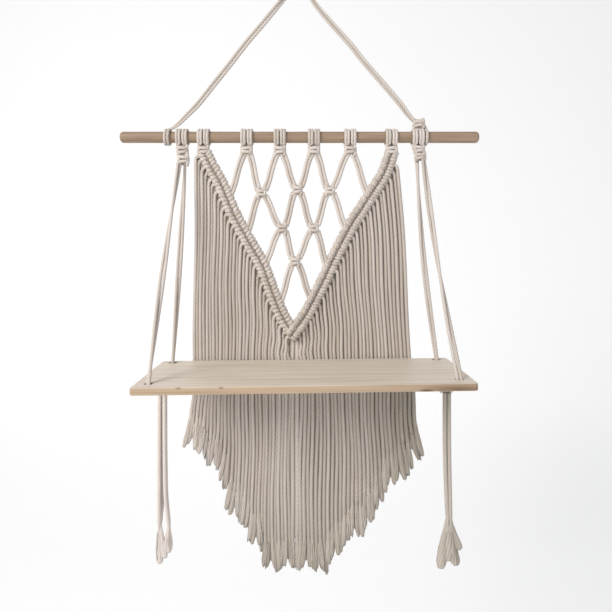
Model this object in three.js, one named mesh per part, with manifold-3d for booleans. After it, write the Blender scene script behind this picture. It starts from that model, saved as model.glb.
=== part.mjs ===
// A macrame wall shelf: a pale board slung on cotton ropes under a wooden dowel, with an open
// diamond net, a V of two hitched bars on each side, and a long pointed fringe behind the board.
// Millimetres. The origin is the top of the hanging cord, where the hook holds it.
// +X is the viewer's right, +Y is towards the wall and +Z is up.

import * as THREE from "three";
import { mergeVertices } from "three/addons/utils/BufferGeometryUtils.js";
import Module from "manifold-3d";

const wasm = await Module();
wasm.setup();

// Driving dimensions
const cordRadius = 2.25; // a 5 mm cotton cord, drawn a little thinner where it is pulled tight
const netCord = { radius: 2.45, apart: 2.3 }; // the same cord in the net, with two to each leg
const gap = 0.4; // space between two pieces of cord
const dowel = { length: 510, radius: 8, z: -224, sides: 20 };
const board = { width: 400, depth: 150, thickness: 9, top: -541.5, x: 7.5, back: -7, corner: 4 };
const hole = { radius: 6.5, fromEnd: 17, fromFront: 20, fromBack: 12, sides: 12 };
const loop = { inner: 8.8, outer: 12.8, halfWidth: 9, steps: 10 }; // cords looped over the dowel
const netDepth = -3; // y of the net's cords
const barDepth = -2.6; // y of the hitched bars
const netKnot = { width: 15, depth: 9.5, height: 12 };
const legStart = { x: 4.8, z: 3 }; // from a knot's middle to the middle of a leg's end
const legSway = 0.045; // how much steeper a leg runs in its middle, as a share of its width
const topKnot = { width: 17.5, depth: 10.5, height: 16.5, z: -241 }; // under the dowel
const bar = { offset: 5.2, radius: 5.1, depth: 5, groove: 2.8, hitches: 25 };
const tipRun = { left: 6, right: 9 }; // how far each arm runs on past its last row
const barJoin = 9.4; // how far from an arm's line the net's legs end, inside its upper bar
const fringe = { cords: 30, front: -1.3, back: 1, radius: 2.7, edge: 11.9, arch: 3 };
const strip = { halfDepth: 2.9, halfHeight: 0.9, steps: 12 }; // the fringe's backing
const sling = { y: -72, drop: 3.2, sag: 3, knotWidth: 15, knotHeight: 13 }; // ropes under the board
const tailKnot = { width: 12, depth: 12, height: 6, ridges: 1 };
const tailCord = { radius: 2.35, apart: 2.4 };
const meeting = board.top - board.thickness / 2; // z inside a hole where rope and sling meet

const xAxis = new THREE.Vector3(1, 0, 0);
const yAxis = new THREE.Vector3(0, 1, 0);

// Cord groups on the dowel, left to right
const groups = {
  supportLeft: -166.6,
  barLeft: -136.1,
  net1: -74.8,
  net2: -27.8,
  net3: 20.6,
  net4: 71.9,
  barRight: 130.3,
  supportRight: 168,
};

// Square knots of the net, with those under the dowel first, and the places where legs meet the bars
const joints = {
  top1: { x: groups.net1, z: topKnot.z, onTop: true },
  top2: { x: groups.net2, z: topKnot.z, onTop: true },
  top3: { x: groups.net3, z: topKnot.z, onTop: true },
  top4: { x: groups.net4, z: topKnot.z, onTop: true },
  first1: { x: -53.7, z: -303.5 },
  first2: { x: -2.9, z: -299.2 },
  first3: { x: 43.1, z: -300.2 },
  second1: { x: -24.7, z: -353.8 },
  second2: { x: 20.1, z: -353.8 },
  third1: { x: -6.2, z: -400.3 },
  left1: { arm: "left", z: -306 },
  left2: { arm: "left", z: -359 },
  left3: { arm: "left", z: -402 },
  left4: { arm: "left", z: -457 },
  right1: { arm: "right", z: -306 },
  right2: { arm: "right", z: -354 },
  right3: { arm: "right", z: -407 },
  right4: { arm: "right", z: -453 },
};

// Legs of the net, each two cords side by side
const legs = [
  { from: "top1", to: "left1" },
  { from: "top1", to: "first1" },
  { from: "top2", to: "first1" },
  { from: "top2", to: "first2" },
  { from: "top3", to: "first2" },
  { from: "top3", to: "first3" },
  { from: "top4", to: "first3" },
  { from: "top4", to: "right1" },
  { from: "first1", to: "left2" },
  { from: "first1", to: "second1" },
  { from: "first2", to: "second1" },
  { from: "first2", to: "second2" },
  { from: "first3", to: "second2" },
  { from: "first3", to: "right2" },
  { from: "second1", to: "left3" },
  { from: "second1", to: "third1" },
  { from: "second2", to: "third1" },
  { from: "second2", to: "right3" },
  { from: "third1", to: "left4" },
  { from: "third1", to: "right4" },
];

// Line between the two bars of each arm of the V, from the dowel to the tip
const arms = {
  left: [
    { x: -134.5, z: -246 },
    { x: -126, z: -264 },
    { x: -110.4, z: -292.1 },
    { x: -92.8, z: -333.4 },
    { x: -70, z: -375 },
    { x: -53, z: -404.5 },
    { x: -39.5, z: -440.4 },
    { x: -25.5, z: -475 },
    { x: -9.6, z: -501.1 },
  ],
  right: [
    { x: 131.5, z: -245 },
    { x: 120.1, z: -275.7 },
    { x: 104.5, z: -301 },
    { x: 88.2, z: -326.5 },
    { x: 71.9, z: -351.9 },
    { x: 50, z: -393.8 },
    { x: 36, z: -424 },
    { x: 22, z: -452 },
    { x: 9.2, z: -476 },
    { x: -8.2, z: -500.6 },
  ],
};

// Lower edge of the fringe, left to right
const hem = [
  { x: -158, z: -648 },
  { x: -141, z: -669 },
  { x: -122, z: -689 },
  { x: -104, z: -713 },
  { x: -96, z: -748 },
  { x: -79, z: -773 },
  { x: -68, z: -792 },
  { x: -50, z: -820 },
  { x: -33, z: -837 },
  { x: -4, z: -834 },
  { x: 24, z: -838 },
  { x: 40, z: -832 },
  { x: 55, z: -816 },
  { x: 73, z: -789 },
  { x: 90, z: -783 },
  { x: 109, z: -750 },
  { x: 123, z: -720 },
  { x: 150, z: -704 },
  { x: 174, z: -678 },
];

// x of the fringe's outermost and innermost cords behind the board and at the hem, and of the
// filler cord that hangs from the end of each arm
const spans = {
  left: { outer: -151, inner: -15, hemOuter: -158, hemInner: -14, filler: -9.2 },
  right: { outer: 161.5, inner: 2.3, hemOuter: 172.5, hemInner: 1.5, filler: -3.6 },
};

// Knotted necks of the two supports, and the two ropes that leave each
const supports = {
  left: { side: -1, group: "supportLeft", neck: -164.2, bottom: -263, front: -169.5, rear: -163.5 },
  right: { side: 1, group: "supportRight", neck: 170.8, bottom: -257, front: 177, rear: 169.5 },
};
const neck = { top: -232.6, width: 15, depth: 10, y: -3.5, ridges: 4 };
const ropeTop = { front: -8.2, rear: 1.2 }; // y where each rope leaves the neck

// Tails below the board: x of the left and right strands at each height, then the loosened
// locks at the tip
const tails = {
  left: {
    x: -175.5,
    lean: 1.2,
    rows: [
      { z: -577, left: -178.2, right: -173 },
      { z: -640, left: -178.4, right: -172.8 },
      { z: -692, left: -179.3, right: -172 },
      { z: -738, left: -181, right: -168.2 },
      { z: -758, left: -180.3, right: -168 },
    ],
    locks: [
      { from: "left", x: -180, end: -790, width: 9 },
      { from: "left", x: -174.5, end: -782, width: 7 },
      { from: "right", x: -168.3, end: -778, width: 7.5 },
    ],
  },
  right: {
    x: 190.5,
    lean: 0,
    rows: [
      { z: -577, left: 188.2, right: 192.7 },
      { z: -640, left: 188.6, right: 193 },
      { z: -692, left: 190.4, right: 194 },
      { z: -738, left: 192.3, right: 196.8 },
      { z: -758, left: 190, right: 200 },
    ],
    locks: [
      { from: "left", x: 183.8, end: -796, width: 10.5 },
      { from: "left", x: 192.5, end: -787, width: 8 },
      { from: "right", x: 203, end: -791, width: 8.5 },
      { from: "right", x: 210, end: -772, width: 7.5 },
    ],
  },
};

// Hanging cord, a pair from the dowel up to the hook and down again
const hanger = {
  leftWrap: { x: -187.4, halfWidth: 4.5 },
  rightWrap: { x: 179.8, halfWidth: 2.3 },
  knot: { x: 169.5, z: -204.8, width: 16, height: 11.2, depth: 10 },
  line: [
    { x: -188, z: -211.4, turn: 0.3 },
    { x: -180, z: -208.4, turn: 0.4 },
    { x: -169.5, z: -203, turn: 0.5 },
    { x: -156, z: -187.7, turn: 0.7 },
    { x: -140.4, z: -170.6, turn: 1 },
    { x: -112, z: -137, turn: 1.5 },
    { x: -77.7, z: -100.7, turn: 2 },
    { x: -50, z: -62.5, turn: 2.5 },
    { x: -24, z: -28, turn: 2.9 },
    { x: -5.5, z: -6.2, turn: 3 },
    { x: 0, z: -2.5, turn: 3 },
    { x: 5.5, z: -6.2, turn: 3 },
    { x: 22, z: -28, turn: 3.1 },
    { x: 47, z: -64, turn: 3.5 },
    { x: 73.3, z: -100.7, turn: 4 },
    { x: 100, z: -128.5, turn: 4.5 },
    { x: 126, z: -154.9, turn: 5 },
    { x: 150, z: -181, turn: 5.5 },
    { x: 166.5, z: -200.5, turn: 6 },
  ],
};

const cotton = { color: 0xd8cec0, roughness: 0.95, metalness: 0 };
const dowelWood = { color: 0xa58c70, roughness: 0.6, metalness: 0 };
const boardWood = { color: 0xc8b89e, roughness: 0.55, metalness: 0 };

// Six times the signed volume of a triangle list, to tell which way its faces point
function signedVolume(points, faces) {
  let total = 0;
  for (let i = 0; i < faces.length; i += 3) {
    const [a, b, c] = [points[faces[i]], points[faces[i + 1]], points[faces[i + 2]]];
    total += a.dot(b.clone().cross(c));
  }
  return total;
}

// A closed body from points and triangles, turned so that its faces point outwards
function bodyOf(points, faces) {
  const outward = signedVolume(points, faces) < 0 ? faces.toReversed() : faces;
  const vertProperties = new Float32Array(points.flatMap((p) => [p.x, p.y, p.z]));
  const triVerts = new Uint32Array(outward);
  return new wasm.Manifold(new wasm.Mesh({ numProp: 3, vertProperties, triVerts }));
}

// A closed body from one of three's geometries, with its shared corners merged
function bodyOfGeometry(geometry) {
  geometry.deleteAttribute("normal");
  geometry.deleteAttribute("uv");
  const merged = mergeVertices(geometry, 1e-3);
  const position = merged.getAttribute("position");
  const points = [];
  for (let i = 0; i < position.count; i += 1) {
    points.push(new THREE.Vector3().fromBufferAttribute(position, i));
  }
  const index = Array.from(merged.index.array);
  const faces = [];
  for (let i = 0; i < index.length; i += 3) {
    const [a, b, c] = index.slice(i, i + 3);
    if (a !== b && b !== c && c !== a) faces.push(a, b, c);
  }
  return bodyOf(points, faces);
}

// Bodies made one, with any sealed pocket between them filled
function joined(bodies) {
  const whole = bodies.reduce((sum, body) => sum.add(body));
  return whole.decompose().filter((piece) => piece.volume() > 0).reduce((sum, piece) => sum.add(piece));
}

// A mesh from a closed body
function meshOf(name, body, look) {
  const mesh = body.getMesh();
  const corners = mesh.vertProperties;
  const count = corners.length / mesh.numProp;
  const position = new Float32Array(count * 3);
  for (let i = 0; i < count; i += 1) {
    position.set(corners.subarray(i * mesh.numProp, i * mesh.numProp + 3), i * 3);
  }
  const geometry = new THREE.BufferGeometry();
  geometry.setAttribute("position", new THREE.BufferAttribute(position, 3));
  geometry.setIndex(new THREE.BufferAttribute(new Uint32Array(mesh.triVerts), 1));
  geometry.computeVertexNormals();
  const made = new THREE.Mesh(geometry, new THREE.MeshStandardMaterial(look));
  made.name = name;
  return made;
}

// Carries a flat section along a path: its first axis stays near the reference direction.
// sectionAt(i) gives the section's points on ring i, all with the same count.
function carried(path, reference, sectionAt) {
  const points = [];
  path.forEach((centre, i) => {
    const ahead = path[Math.min(i + 1, path.length - 1)];
    const behind = path[Math.max(i - 1, 0)];
    const along = ahead.clone().sub(behind).normalize();
    const across = reference.clone().addScaledVector(along, -reference.dot(along)).normalize();
    const out = along.clone().cross(across);
    for (const [a, b] of sectionAt(i)) {
      points.push(centre.clone().addScaledVector(across, a).addScaledVector(out, b));
    }
  });
  const count = sectionAt(0).length;
  const last = (path.length - 1) * count;
  const faces = [];
  for (let ring = 0; ring < last; ring += count) {
    for (let i = 0; i < count; i += 1) {
      const next = (i + 1) % count;
      faces.push(ring + i, ring + next, ring + count + i);
      faces.push(ring + next, ring + count + next, ring + count + i);
    }
  }
  const outline = sectionAt(0).map(([a, b]) => new THREE.Vector2(a, b));
  const clockwise = THREE.ShapeUtils.isClockWise(outline);
  for (const corners of THREE.ShapeUtils.triangulateShape(outline, [])) {
    const [a, b, c] = clockwise ? corners.toReversed() : corners;
    faces.push(a, c, b);
    faces.push(last + a, last + b, last + c);
  }
  return bodyOf(points, faces);
}

// Points on an ellipse, in order
function ellipse(halfWidth, halfDepth, sides, turn = 0) {
  return Array.from({ length: sides }, (_, i) => {
    const angle = turn + (2 * Math.PI * i) / sides;
    return [halfWidth * Math.cos(angle), halfDepth * Math.sin(angle)];
  });
}

// Two cords side by side, as one outline with a waist, turned about its middle
function pairSection(turn, size = 1) {
  const lobe = 1.15;
  const shape = [];
  for (const side of [1, -1]) {
    for (const angle of [-lobe, 0, lobe]) {
      const r = cordRadius * size;
      shape.push([side * (r + r * Math.cos(angle)), side * r * Math.sin(angle)]);
    }
    shape.push([0, side * 0.55 * cordRadius * size]);
  }
  const [c, s] = [Math.cos(turn), Math.sin(turn)];
  return shape.map(([a, b]) => [a * c - b * s, a * s + b * c]);
}

function mix(a, b, t) {
  return a + (b - a) * t;
}

// Height of the fringe's lower edge at x
function hemAt(x) {
  const after = hem.findIndex((row) => row.x >= x);
  if (after <= 0) return hem[0].z;
  const [a, b] = [hem[after - 1], hem[after]];
  return mix(a.z, b.z, (x - a.x) / (b.x - a.x));
}

// A ridged knot or knotted neck, standing along z: each ridge is one wrap
function knot({ x, y, z, width, depth, height, ridges }) {
  const steps = 2 * ridges;
  const path = [];
  for (let i = 0; i <= steps; i += 1) {
    path.push(new THREE.Vector3(x, y, z + height * (0.5 - i / steps)));
  }
  return carried(path, xAxis, (i) => {
    const atEnd = i === 0 || i === steps;
    const between = i % 2 === 0 ? 0.8 : 1;
    const size = atEnd ? 0.62 : between;
    return ellipse((width / 2) * size, (depth / 2) * size, 8, Math.PI / 8);
  });
}

// A band round the dowel, with one ridge for each cord; ridges is a list of their middles
function band(x, halfWidth, ridges) {
  const { inner, outer, steps } = loop;
  const profile = [new THREE.Vector2(inner, halfWidth), new THREE.Vector2(inner, -halfWidth)];
  profile.push(new THREE.Vector2(mix(inner, outer, 0.45), -halfWidth));
  ridges.forEach((middle, i) => {
    profile.push(new THREE.Vector2(outer, middle));
    if (i + 1 < ridges.length) {
      const between = (middle + ridges[i + 1]) / 2;
      const floor = Math.abs(between) < 1 && ridges.length > 2 ? 0.12 : 0.5;
      profile.push(new THREE.Vector2(mix(inner, outer, floor), between));
    }
  });
  profile.push(new THREE.Vector2(mix(inner, outer, 0.45), halfWidth), profile[0].clone());
  const geometry = new THREE.LatheGeometry(profile, steps);
  geometry.rotateZ(-Math.PI / 2);
  geometry.translate(x, 0, dowel.z);
  return bodyOfGeometry(geometry);
}

// Four cords looped on the dowel as two pairs
function cordGroup(x) {
  return band(x, loop.halfWidth, [-6.75, -2.3, 2.3, 6.75]);
}

// The place inside an arm's upper bar at height z
function insideArm({ arm: side, z }) {
  const line = armLine(side);
  const steps = 200;
  const at = line.getSpacedPoints(steps).findIndex((point) => point.z <= z) / steps;
  const tangent = line.getTangentAt(at);
  const inward = side === "left" ? 1 : -1;
  const middle = line.getPointAt(at);
  return {
    x: middle.x - inward * barJoin * tangent.z,
    z: middle.z + inward * barJoin * tangent.x,
  };
}

// A leg of the net: two cords that leave one knot, run steeper in the middle and enter the next
function leg({ from, to }) {
  const [start, end] = [joints[from], joints[to].arm ? insideArm(joints[to]) : joints[to]];
  const side = Math.sign(end.x - start.x);
  const begin = { x: start.x + side * legStart.x, z: start.z - legStart.z };
  const finish = joints[to].arm ? end : { x: end.x - side * legStart.x, z: end.z + legStart.z };
  const steps = 4;
  const path = [];
  for (let i = 0; i <= steps; i += 1) {
    const t = i / steps;
    const across = t + legSway * Math.sin(2 * Math.PI * t);
    path.push(new THREE.Vector3(mix(begin.x, finish.x, across), netDepth, mix(begin.z, finish.z, t)));
  }
  const section = ellipse(netCord.radius, netCord.radius, 4);
  return [-netCord.apart, netCord.apart].map((apart) => {
    return carried(path, xAxis, () => section.map(([a, b]) => [a + apart, b]));
  });
}

// The line of an arm of the V as a curve, run on past the V's tip
function armLine(side) {
  const points = arms[side].map((row) => new THREE.Vector3(row.x, barDepth, row.z));
  const [before, end] = points.slice(-2);
  points.push(end.clone().addScaledVector(end.clone().sub(before).normalize(), tipRun[side]));
  return new THREE.CatmullRomCurve3(points, false, "centripetal");
}

// An arm of the V: two hitched bars side by side, with a groove between them and a ridge a hitch
function arm(side) {
  const steps = 2 * bar.hitches;
  const lobe = [-1.8, -0.6, 0.6, 1.8];
  return carried(armLine(side).getSpacedPoints(steps), yAxis, (i) => {
    const shape = [];
    for (const half of [1, -1]) {
      const crest = (i % 2 === 0) === (half === 1) ? 1.05 : 0.84;
      for (const angle of lobe) {
        const out = bar.offset + bar.radius * crest * Math.cos(angle);
        shape.push([half * bar.depth * crest * Math.sin(angle), half * out]);
      }
      shape.push([half * bar.groove, 0]);
    }
    return shape;
  });
}

// The knotted panel between the supports, all of it one piece
function macramePanel() {
  const places = Object.keys(groups).filter((name) => !name.startsWith("support"));
  const bodies = places.map((name) => cordGroup(groups[name]));
  for (const name of places) {
    bodies.push(knot({ ...topKnot, x: groups[name], y: netDepth, ridges: 3 }));
  }
  for (const { x, z, arm: side, onTop } of Object.values(joints)) {
    if (!side && !onTop) bodies.push(knot({ ...netKnot, x, z, y: netDepth, ridges: 2 }));
  }
  bodies.push(...legs.flatMap(leg));
  bodies.push(arm("left"), arm("right"));
  return joined(bodies);
}

// A repeatable wander between -1 and 1 for cord number k
function wander(k, turn) {
  return Math.sin(k * 2.399 + turn * 1.7) * Math.cos(k * 0.83 + turn);
}

// One half of the fringe: a narrow strip under the outer bar, with cords that arch out and hang
function fringeHalf(side) {
  const line = armLine(side);
  const sign = side === "left" ? -1 : 1;
  const outward = (tangent) => new THREE.Vector3(-sign * tangent.z, 0, sign * tangent.x);
  const edgeAt = (t, distance) => {
    const point = line.getPointAt(t).addScaledVector(outward(line.getTangentAt(t)), distance);
    point.y = (fringe.front + fringe.back) / 2;
    return point;
  };
  const { halfDepth, halfHeight, steps } = strip;
  const stripPath = Array.from({ length: steps + 1 }, (_, i) => edgeAt(i / steps, fringe.edge));
  const section = [
    [halfDepth, -halfHeight],
    [halfDepth, halfHeight],
    [-halfDepth, halfHeight],
    [-halfDepth, -halfHeight],
  ];
  const bodies = [carried(stripPath, yAxis, () => section)];
  const span = spans[side];
  const hang = (path, k, behindX, hemX, depth) => {
    const from = path.at(-1);
    const hemZ = hemAt(hemX) + 5 * wander(k, 2);
    path.push(new THREE.Vector3(mix(from.x, behindX, 0.6), depth, mix(from.z, board.top, 0.5)));
    path.push(new THREE.Vector3(behindX + wander(k, 1), depth, board.top));
    path.push(new THREE.Vector3(hemX, depth, hemZ));
    const size = (i) => fringe.radius * (i === 0 ? 0.85 : 1);
    bodies.push(carried(path, yAxis, (i) => ellipse(size(i), size(i), 3, Math.PI)));
  };
  const { cords } = fringe;
  for (let k = 0; k < cords; k += 1) {
    const t = Math.min((k + 0.45) / (cords - 0.6), 0.995);
    const share = k / (cords - 1);
    const root = edgeAt(t, fringe.edge - 0.4);
    const shoulder = edgeAt(t, fringe.edge + fringe.arch * (1 - 0.6 * share));
    const depth = k % 2 === 0 ? fringe.front : fringe.back;
    const brow = new THREE.Vector3(mix(root.x, shoulder.x, 0.75), depth, mix(root.z, shoulder.z, 0.75) - 0.8);
    const path = [root, brow, new THREE.Vector3(shoulder.x, depth, shoulder.z - 5)];
    hang(path, k, mix(span.outer, span.inner, share), mix(span.hemOuter, span.hemInner, share), depth);
  }
  const tip = edgeAt(0.99, fringe.edge - 0.4);
  const below = new THREE.Vector3(mix(tip.x, span.filler, 0.7), fringe.back, tip.z - 3.5);
  hang([tip, below], cords, span.filler, span.filler, fringe.back);
  return joined(bodies);
}

// Looped cords and the knotted neck of one support
function supportTop({ group, neck: x, bottom }) {
  const height = neck.top - bottom;
  const z = (neck.top + bottom) / 2;
  const { width, depth, y, ridges } = neck;
  return joined([cordGroup(groups[group]), knot({ x, y, z, width, depth, height, ridges })]);
}

function holePlaces(side) {
  const x = board.x + side * (board.width / 2 - hole.fromEnd);
  const front = board.back - board.depth + hole.fromFront;
  return { x, front, rear: board.back - hole.fromBack };
}

// One pair of cords from a neck down through its hole in the board
function rope(support, place) {
  const holes = holePlaces(support.side);
  const end = new THREE.Vector3(holes.x, holes[place], meeting);
  const start = new THREE.Vector3(support[place], ropeTop[place], support.bottom - gap);
  const steps = 14;
  const path = Array.from({ length: steps }, (_, i) => {
    const t = i / (steps - 1);
    const entry = new THREE.Vector3(end.x, end.y, board.top + 1.5);
    return start.clone().lerp(entry, t);
  });
  path.push(end);
  const turns = place === "front" ? 1.5 : 1;
  return carried(path, xAxis, (i) => pairSection((support.side * turns * Math.PI * i) / steps));
}

// The cords under the board: from each hole to a knot at the middle, where the tail hangs
function slingBody(side, tail) {
  const { x, front, rear } = holePlaces(side);
  const top = board.top - board.thickness;
  const low = top - sling.drop;
  const half = (from, towards) => {
    const points = [
      new THREE.Vector3(x, from, meeting - gap),
      new THREE.Vector3(x, from, top + 0.5),
      new THREE.Vector3(x, from + towards * 2.2, low + 0.2),
      new THREE.Vector3(x, from + towards * 8, low - 0.4),
      new THREE.Vector3(mix(x, tail.x, 0.6), mix(from, sling.y, 0.6), low - 1.2),
      new THREE.Vector3(tail.x, sling.y, low - sling.sag),
    ];
    return carried(points, xAxis, () => pairSection(0, 0.97));
  };
  const { knotWidth: width, knotHeight: height } = sling;
  const z = low - sling.sag / 2 - height / 2;
  const tie = knot({ x: tail.x, y: sling.y, z, width, depth: width, height, ridges: 2 });
  return joined([half(front, 1), half(rear, -1), tie]);
}

// Four cords hanging from a tie under the board, loosened into locks at the tip
function tailBody(tail) {
  const tieEnd = board.top - board.thickness - sling.drop - sling.sag / 2 - sling.knotHeight;
  const start = tieEnd - gap - tailKnot.height / 2;
  const { radius, apart } = tailCord;
  const bodies = [knot({ ...tailKnot, x: tail.x, y: sling.y, z: start })];
  for (const side of ["left", "right"]) {
    for (const face of [-1, 1]) {
      const lean = side === "left" ? face * tail.lean : 0;
      const path = tail.rows.map((row) => {
        return new THREE.Vector3(row[side] + lean, sling.y + face * apart, row.z);
      });
      path.unshift(new THREE.Vector3(path[0].x, path[0].y, start));
      bodies.push(carried(path, xAxis, () => ellipse(radius, radius, 4)));
    }
  }
  const last = tail.rows.at(-1);
  for (const { from, x, end, width } of tail.locks) {
    const path = [
      new THREE.Vector3(last[from], sling.y, last.z + 6),
      new THREE.Vector3(mix(last[from], x, 0.5), sling.y, mix(last.z, end, 0.3)),
      new THREE.Vector3(x, sling.y, mix(last.z, end, 0.75)),
      new THREE.Vector3(x, sling.y, end),
    ];
    const size = [0.35, 0.42, 0.5, 0.28].map((share) => share * width);
    bodies.push(carried(path, xAxis, (i) => ellipse(size[i], Math.min(size[i], 4.2), 6)));
  }
  return joined(bodies);
}

// The hanging cord: a wrap on the dowel at the left, the pair over the hook, and a knot and a
// wrap at the right
function hangerBody() {
  const { leftWrap, rightWrap, knot: tie, line } = hanger;
  const path = line.map((row) => new THREE.Vector3(row.x, 0, row.z));
  const run = carried(path, yAxis, (i) => pairSection(((line[i].turn - 3) * Math.PI) / 2));
  const bridge = [
    new THREE.Vector3(tie.x + 2, 0, tie.z + 0.5),
    new THREE.Vector3(tie.x + 7, 0, tie.z - 1.2),
    new THREE.Vector3(rightWrap.x + 0.6, 0, dowel.z + loop.outer - 1.6),
  ];
  return joined([
    run,
    band(leftWrap.x, leftWrap.halfWidth, [-2.25, 2.25]),
    band(rightWrap.x, rightWrap.halfWidth, [0]),
    knot({ ...tie, y: 0, ridges: 2 }),
    carried(bridge, yAxis, () => ellipse(2.2, 2.2, 6)),
  ]);
}

// The dowel, turned about its length, with softly rounded ends
function dowelMesh() {
  const { length, radius, z, sides } = dowel;
  const half = length / 2;
  const profile = [
    new THREE.Vector2(0, -half),
    new THREE.Vector2(radius * 0.62, -half + 0.3),
    new THREE.Vector2(radius * 0.9, -half + 1.6),
    new THREE.Vector2(radius, -half + 4),
    new THREE.Vector2(radius, half - 4),
    new THREE.Vector2(radius * 0.9, half - 1.6),
    new THREE.Vector2(radius * 0.62, half - 0.3),
    new THREE.Vector2(0, half),
  ];
  const geometry = new THREE.LatheGeometry(profile, sides);
  geometry.rotateZ(-Math.PI / 2);
  const made = meshOf("dowel", bodyOfGeometry(geometry), dowelWood);
  made.position.set(0, 0, z);
  return made;
}

// The board, with a round hole near each corner
function boardMesh() {
  const { width, depth, thickness, top, x, back, corner } = board;
  const [left, right] = [-width / 2, width / 2];
  const [near, far] = [back - depth, back];
  const outline = new THREE.Shape();
  outline.moveTo(left + corner, near);
  outline.lineTo(right - corner, near);
  outline.absarc(right - corner, near + corner, corner, -Math.PI / 2, 0);
  outline.lineTo(right, far - corner);
  outline.absarc(right - corner, far - corner, corner, 0, Math.PI / 2);
  outline.lineTo(left + corner, far);
  outline.absarc(left + corner, far - corner, corner, Math.PI / 2, Math.PI);
  outline.lineTo(left, near + corner);
  outline.absarc(left + corner, near + corner, corner, Math.PI, 1.5 * Math.PI);
  for (const side of [-1, 1]) {
    const places = holePlaces(side);
    for (const y of [places.front, places.rear]) {
      const ring = ellipse(hole.radius, hole.radius, hole.sides);
      outline.holes.push(
        new THREE.Path(ring.map(([a, b]) => new THREE.Vector2(places.x - x + a, y + b))),
      );
    }
  }
  const settings = { depth: thickness, bevelEnabled: false, curveSegments: 3 };
  const body = bodyOfGeometry(new THREE.ExtrudeGeometry(outline, settings));
  const made = meshOf("shelf_board", body, boardWood);
  made.position.set(x, 0, top - thickness);
  return made;
}

const shelf = new THREE.Group();
shelf.add(dowelMesh());
shelf.add(boardMesh());
shelf.add(meshOf("hanging_cord", hangerBody(), cotton));

const hangings = new THREE.Group();
hangings.add(meshOf("macrame_panel", macramePanel(), cotton));
for (const side of ["left", "right"]) {
  hangings.add(meshOf(`fringe_${side}`, fringeHalf(side), cotton));
}
shelf.add(hangings);

for (const [side, support] of Object.entries(supports)) {
  const sideGroup = new THREE.Group();
  sideGroup.add(meshOf(`support_${side}`, supportTop(support), cotton));
  for (const place of ["front", "rear"]) {
    sideGroup.add(meshOf(`rope_${side}_${place}`, rope(support, place), cotton));
  }
  sideGroup.add(meshOf(`sling_${side}`, slingBody(support.side, tails[side]), cotton));
  sideGroup.add(meshOf(`tail_${side}`, tailBody(tails[side]), cotton));
  shelf.add(sideGroup);
}

export default shelf;
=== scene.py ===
import bpy
import numpy as np
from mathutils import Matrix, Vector
from mathutils.geometry import delaunay_2d_cdt


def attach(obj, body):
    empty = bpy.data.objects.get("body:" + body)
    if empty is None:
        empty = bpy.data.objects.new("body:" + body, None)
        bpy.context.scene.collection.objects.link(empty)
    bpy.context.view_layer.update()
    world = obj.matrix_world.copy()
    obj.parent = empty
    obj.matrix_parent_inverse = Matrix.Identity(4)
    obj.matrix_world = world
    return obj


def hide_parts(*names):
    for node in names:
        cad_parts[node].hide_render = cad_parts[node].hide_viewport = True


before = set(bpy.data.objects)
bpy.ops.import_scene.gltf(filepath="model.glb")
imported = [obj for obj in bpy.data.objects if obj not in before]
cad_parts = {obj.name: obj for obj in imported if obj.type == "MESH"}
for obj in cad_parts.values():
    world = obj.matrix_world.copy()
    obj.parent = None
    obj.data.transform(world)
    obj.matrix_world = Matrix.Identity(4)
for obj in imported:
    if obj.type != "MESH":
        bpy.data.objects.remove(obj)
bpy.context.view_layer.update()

# Macrame wall shelf. The pieces' tables are in millimetres, in the frame of the solids: x along
# the dowel, y towards the wall, z up, with the origin at the top of the hanging cord. Camera,
# studio and materials are in metres.
mm = 0.001
rng = np.random.default_rng(7)
print("frame loaded")

# A level camera that looks along y, with its lens for a sensor 36 mm wide
camera = {
    "place": (0.0135, -0.794, -0.3888),
    "lens": 32.82,
    "shift": (-0.0049, -0.0863),
}


def makeCamera():
    data = bpy.data.cameras.new("camera")
    data.sensor_width = 36
    data.lens = camera["lens"]
    data.shift_x, data.shift_y = camera["shift"]
    eye = bpy.data.objects.new("camera", data)
    eye.location = camera["place"]
    eye.rotation_euler = (np.pi / 2, 0, 0)
    bpy.context.scene.collection.objects.link(eye)
    bpy.context.scene.camera = eye


makeCamera()
print("camera made")

# Plain soft light, and a pale floor that curves up into a backdrop
studio = {
    "floor": -1.6,
    "back": 1.9,
    "height": 3.4,
    "curve": 0.5,
    "halfWidth": 4.0,
    "front": -3.0,
    "paper": (0.93, 0.93, 0.93),
    "paperGlow": 0.14,
    "world": (0.96, 0.975, 1.0),
    "worldStrength": 0.55,
    "aim": (0, 0, -0.42),
    "key": {"place": (-1.5, -1.6, 0.6), "size": 1.3, "watts": 47, "tint": (1.0, 0.97, 0.93)},
    "fill": {"place": (1.5, -1.6, -0.2), "size": 1.6, "watts": 6, "tint": (0.96, 0.98, 1.0)},
}


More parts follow.
